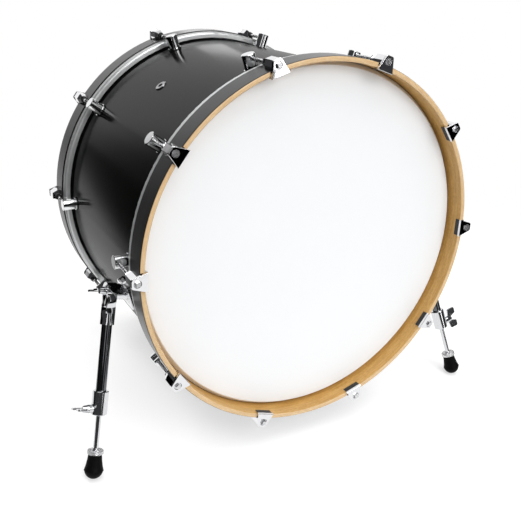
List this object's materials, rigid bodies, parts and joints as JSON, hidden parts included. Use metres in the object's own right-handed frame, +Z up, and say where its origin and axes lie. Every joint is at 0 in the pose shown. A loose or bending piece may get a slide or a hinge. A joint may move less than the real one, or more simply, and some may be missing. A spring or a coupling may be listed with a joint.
{
  "type": "bass drum",
  "caption": "Bass drum with a white front head: wooden shell and hoops, claw hooks, round post lugs, turning tension rods and two folding, extending spurs on rubber feet.",
  "frame": {"origin": "on the floor under the middle of the drum, where the plane of the feet and the rear hoop's lowest edge meets the centre of the box", "axes": "+X to the right seen from the front, +Y to the rear (the player's side), +Z up; the front head faces -Y and leans slightly up"},
  "size_m": [0.7629, 0.5252, 0.6266],
  "materials": {
    "shell_wood": "satin black stain over maple",
    "hoop_wood": "clear satin maple, outer face stained black",
    "head_film": "smooth white",
    "flesh_aluminium": "brushed",
    "chrome_metal": "polished chrome plate",
    "liner_rubber": "matte black",
    "gasket_rubber": "matte black",
    "screw_steel": "zinc plated",
    "foot_rubber": "matte black",
    "grommet_metal": "dark plated"
  },
  "bodies": {
    "drum": {"shell": "shell_wood", "vent_grommet": "grommet_metal", "front_head_film": "head_film", "front_flesh_hoop": "flesh_aluminium", "front_hoop": "hoop_wood", "front_claws": "chrome_metal", "front_claw_liners": "liner_rubber", "front_lugs": "chrome_metal", "rear_head_film": "head_film", "rear_flesh_hoop": "flesh_aluminium", "rear_hoop": "hoop_wood", "rear_claws": "chrome_metal", "rear_claw_liners": "liner_rubber", "rear_lugs": "chrome_metal", "lug_gaskets": "gasket_rubber", "lug_screws": "screw_steel", "left_spur_bracket": "chrome_metal", "left_bracket_gasket": "gasket_rubber", "left_bracket_screws": "screw_steel", "right_spur_bracket": "chrome_metal", "right_bracket_gasket": "gasket_rubber", "right_bracket_screws": "screw_steel"},
    "front_rod_01": {"front_tension_rod_01": "chrome_metal"},
    "front_rod_02": {"front_tension_rod_02": "chrome_metal"},
    "front_rod_03": {"front_tension_rod_03": "chrome_metal"},
    "front_rod_04": {"front_tension_rod_04": "chrome_metal"},
    "front_rod_05": {"front_tension_rod_05": "chrome_metal"},
    "front_rod_06": {"front_tension_rod_06": "chrome_metal"},
    "front_rod_07": {"front_tension_rod_07": "chrome_metal"},
    "front_rod_08": {"front_tension_rod_08": "chrome_metal"},
    "front_rod_09": {"front_tension_rod_09": "chrome_metal"},
    "front_rod_10": {"front_tension_rod_10": "chrome_metal"},
    "rear_rod_01": {"rear_tension_rod_01": "chrome_metal"},
    "rear_rod_02": {"rear_tension_rod_02": "chrome_metal"},
    "rear_rod_03": {"rear_tension_rod_03": "chrome_metal"},
    "rear_rod_04": {"rear_tension_rod_04": "chrome_metal"},
    "rear_rod_05": {"rear_tension_rod_05": "chrome_metal"},
    "rear_rod_06": {"rear_tension_rod_06": "chrome_metal"},
    "rear_rod_07": {"rear_tension_rod_07": "chrome_metal"},
    "rear_rod_08": {"rear_tension_rod_08": "chrome_metal"},
    "rear_rod_09": {"rear_tension_rod_09": "chrome_metal"},
    "rear_rod_10": {"rear_tension_rod_10": "chrome_metal"},
    "left_leg": {"left_leg_head": "chrome_metal", "left_leg_tube": "chrome_metal", "left_leg_collar": "chrome_metal"},
    "left_leg_rod": {"left_leg_rod": "chrome_metal"},
    "left_lock_nut": {"left_lock_nut": "chrome_metal"},
    "left_foot": {"left_rubber_foot": "foot_rubber"},
    "left_pivot_bolt": {"left_pivot_wing_bolt": "chrome_metal"},
    "left_collar_bolt": {"left_collar_wing_bolt": "chrome_metal"},
    "right_leg": {"right_leg_head": "chrome_metal", "right_leg_tube": "chrome_metal", "right_leg_collar": "chrome_metal"},
    "right_leg_rod": {"right_leg_rod": "chrome_metal"},
    "right_lock_nut": {"right_lock_nut": "chrome_metal"},
    "right_foot": {"right_rubber_foot": "foot_rubber"},
    "right_pivot_bolt": {"right_pivot_wing_bolt": "chrome_metal"},
    "right_collar_bolt": {"right_collar_wing_bolt": "chrome_metal"}
  },
  "joints": [
    {"name": "front_rod_01_turn", "type": "hinge", "parent": "drum", "child": "front_rod_01", "pos_m": [-0.09221, -0.20588, 0.61612], "axis": [0, -0.9961, 0.0882], "continuous": true},
    {"name": "front_rod_02_turn", "type": "hinge", "parent": "drum", "child": "front_rod_02", "pos_m": [-0.24141, -0.21543, 0.50814], "axis": [0, -0.9961, 0.0882], "continuous": true},
    {"name": "front_rod_03_turn", "type": "hinge", "parent": "drum", "child": "front_rod_03", "pos_m": [-0.2984, -0.2309, 0.33343], "axis": [0, -0.9961, 0.0882], "continuous": true},
    {"name": "front_rod_04_turn", "type": "hinge", "parent": "drum", "child": "front_rod_04", "pos_m": [-0.24141, -0.24636, 0.15871], "axis": [0, -0.9961, 0.0882], "continuous": true},
    {"name": "front_rod_05_turn", "type": "hinge", "parent": "drum", "child": "front_rod_05", "pos_m": [-0.09221, -0.25592, 0.05074], "axis": [0, -0.9961, 0.0882], "continuous": true},
    {"name": "front_rod_06_turn", "type": "hinge", "parent": "drum", "child": "front_rod_06", "pos_m": [0.09221, -0.25592, 0.05074], "axis": [0, -0.9961, 0.0882], "continuous": true},
    {"name": "front_rod_07_turn", "type": "hinge", "parent": "drum", "child": "front_rod_07", "pos_m": [0.24141, -0.24636, 0.15871], "axis": [0, -0.9961, 0.0882], "continuous": true},
    {"name": "front_rod_08_turn", "type": "hinge", "parent": "drum", "child": "front_rod_08", "pos_m": [0.2984, -0.2309, 0.33343], "axis": [0, -0.9961, 0.0882], "continuous": true},
    {"name": "front_rod_09_turn", "type": "hinge", "parent": "drum", "child": "front_rod_09", "pos_m": [0.24141, -0.21543, 0.50814], "axis": [0, -0.9961, 0.0882], "continuous": true},
    {"name": "front_rod_10_turn", "type": "hinge", "parent": "drum", "child": "front_rod_10", "pos_m": [0.09221, -0.20588, 0.61612], "axis": [0, -0.9961, 0.0882], "continuous": true},
    {"name": "rear_rod_01_turn", "type": "hinge", "parent": "drum", "child": "rear_rod_01", "pos_m": [0.09221, 0.25592, 0.57525], "axis": [0, 0.9961, -0.0882], "continuous": true},
    {"name": "rear_rod_02_turn", "type": "hinge", "parent": "drum", "child": "rear_rod_02", "pos_m": [0.24141, 0.24636, 0.46727], "axis": [0, 0.9961, -0.0882], "continuous": true},
    {"name": "rear_rod_03_turn", "type": "hinge", "parent": "drum", "child": "rear_rod_03", "pos_m": [0.2984, 0.2309, 0.29255], "axis": [0, 0.9961, -0.0882], "continuous": true},
    {"name": "rear_rod_04_turn", "type": "hinge", "parent": "drum", "child": "rear_rod_04", "pos_m": [0.24141, 0.21543, 0.11784], "axis": [0, 0.9961, -0.0882], "continuous": true},
    {"name": "rear_rod_05_turn", "type": "hinge", "parent": "drum", "child": "rear_rod_05", "pos_m": [0.09221, 0.20588, 0.00986], "axis": [0, 0.9961, -0.0882], "continuous": true},
    {"name": "rear_rod_06_turn", "type": "hinge", "parent": "drum", "child": "rear_rod_06", "pos_m": [-0.09221, 0.20588, 0.00986], "axis": [0, 0.9961, -0.0882], "continuous": true},
    {"name": "rear_rod_07_turn", "type": "hinge", "parent": "drum", "child": "rear_rod_07", "pos_m": [-0.24141, 0.21543, 0.11784], "axis": [0, 0.9961, -0.0882], "continuous": true},
    {"name": "rear_rod_08_turn", "type": "hinge", "parent": "drum", "child": "rear_rod_08", "pos_m": [-0.2984, 0.2309, 0.29255], "axis": [0, 0.9961, -0.0882], "continuous": true},
    {"name": "rear_rod_09_turn", "type": "hinge", "parent": "drum", "child": "rear_rod_09", "pos_m": [-0.24141, 0.24636, 0.46727], "axis": [0, 0.9961, -0.0882], "continuous": true},
    {"name": "rear_rod_10_turn", "type": "hinge", "parent": "drum", "child": "rear_rod_10", "pos_m": [-0.09221, 0.25592, 0.57525], "axis": [0, 0.9961, -0.0882], "continuous": true},
    {"name": "left_spur_fold", "type": "hinge", "parent": "drum", "child": "left_leg", "pos_m": [-0.30164, -0.11852, 0.26352], "axis": [0.9736, -0.0201, -0.2275], "range_deg": [0, 100]},
    {"name": "left_leg_extend", "type": "slide", "parent": "left_leg", "child": "left_leg_rod", "axis": [-0.2196, -0.3554, -0.9085], "range_m": [-0.05, 0.04]},
    {"name": "left_lock_nut_turn", "type": "hinge", "parent": "left_leg_rod", "child": "left_lock_nut", "pos_m": [-0.35672, -0.20767, 0.03566], "axis": [-0.2196, -0.3554, -0.9085], "continuous": true},
    {"name": "left_foot_turn", "type": "hinge", "parent": "left_leg_rod", "child": "left_foot", "pos_m": [-0.35679, -0.20777, 0.03539], "axis": [-0.2196, -0.3554, -0.9085], "continuous": true},
    {"name": "left_pivot_bolt_turn", "type": "hinge", "parent": "drum", "child": "left_pivot_bolt", "pos_m": [-0.30924, -0.11837, 0.26529], "axis": [-0.9736, 0.0201, 0.2275], "continuous": true},
    {"name": "left_collar_bolt_turn", "type": "hinge", "parent": "left_leg", "child": "left_collar_bolt", "pos_m": [-0.35813, -0.18233, 0.10347], "axis": [-0.9736, 0.0201, 0.2275], "continuous": true},
    {"name": "right_spur_fold", "type": "hinge", "parent": "drum", "child": "right_leg", "pos_m": [0.30164, -0.11852, 0.26352], "axis": [0.9736, 0.0201, 0.2275], "range_deg": [0, 100]},
    {"name": "right_leg_extend", "type": "slide", "parent": "right_leg", "child": "right_leg_rod", "axis": [0.2196, -0.3554, -0.9085], "range_m": [-0.05, 0.04]},
    {"name": "right_lock_nut_turn", "type": "hinge", "parent": "right_leg_rod", "child": "right_lock_nut", "pos_m": [0.35672, -0.20767, 0.03566], "axis": [0.2196, -0.3554, -0.9085], "continuous": true},
    {"name": "right_foot_turn", "type": "hinge", "parent": "right_leg_rod", "child": "right_foot", "pos_m": [0.35679, -0.20777, 0.03539], "axis": [0.2196, -0.3554, -0.9085], "continuous": true},
    {"name": "right_pivot_bolt_turn", "type": "hinge", "parent": "drum", "child": "right_pivot_bolt", "pos_m": [0.30924, -0.11837, 0.26529], "axis": [0.9736, 0.0201, 0.2275], "continuous": true},
    {"name": "right_collar_bolt_turn", "type": "hinge", "parent": "right_leg", "child": "right_collar_bolt", "pos_m": [0.35813, -0.18233, 0.10347], "axis": [0.9736, 0.0201, 0.2275], "continuous": true}
  ]
}
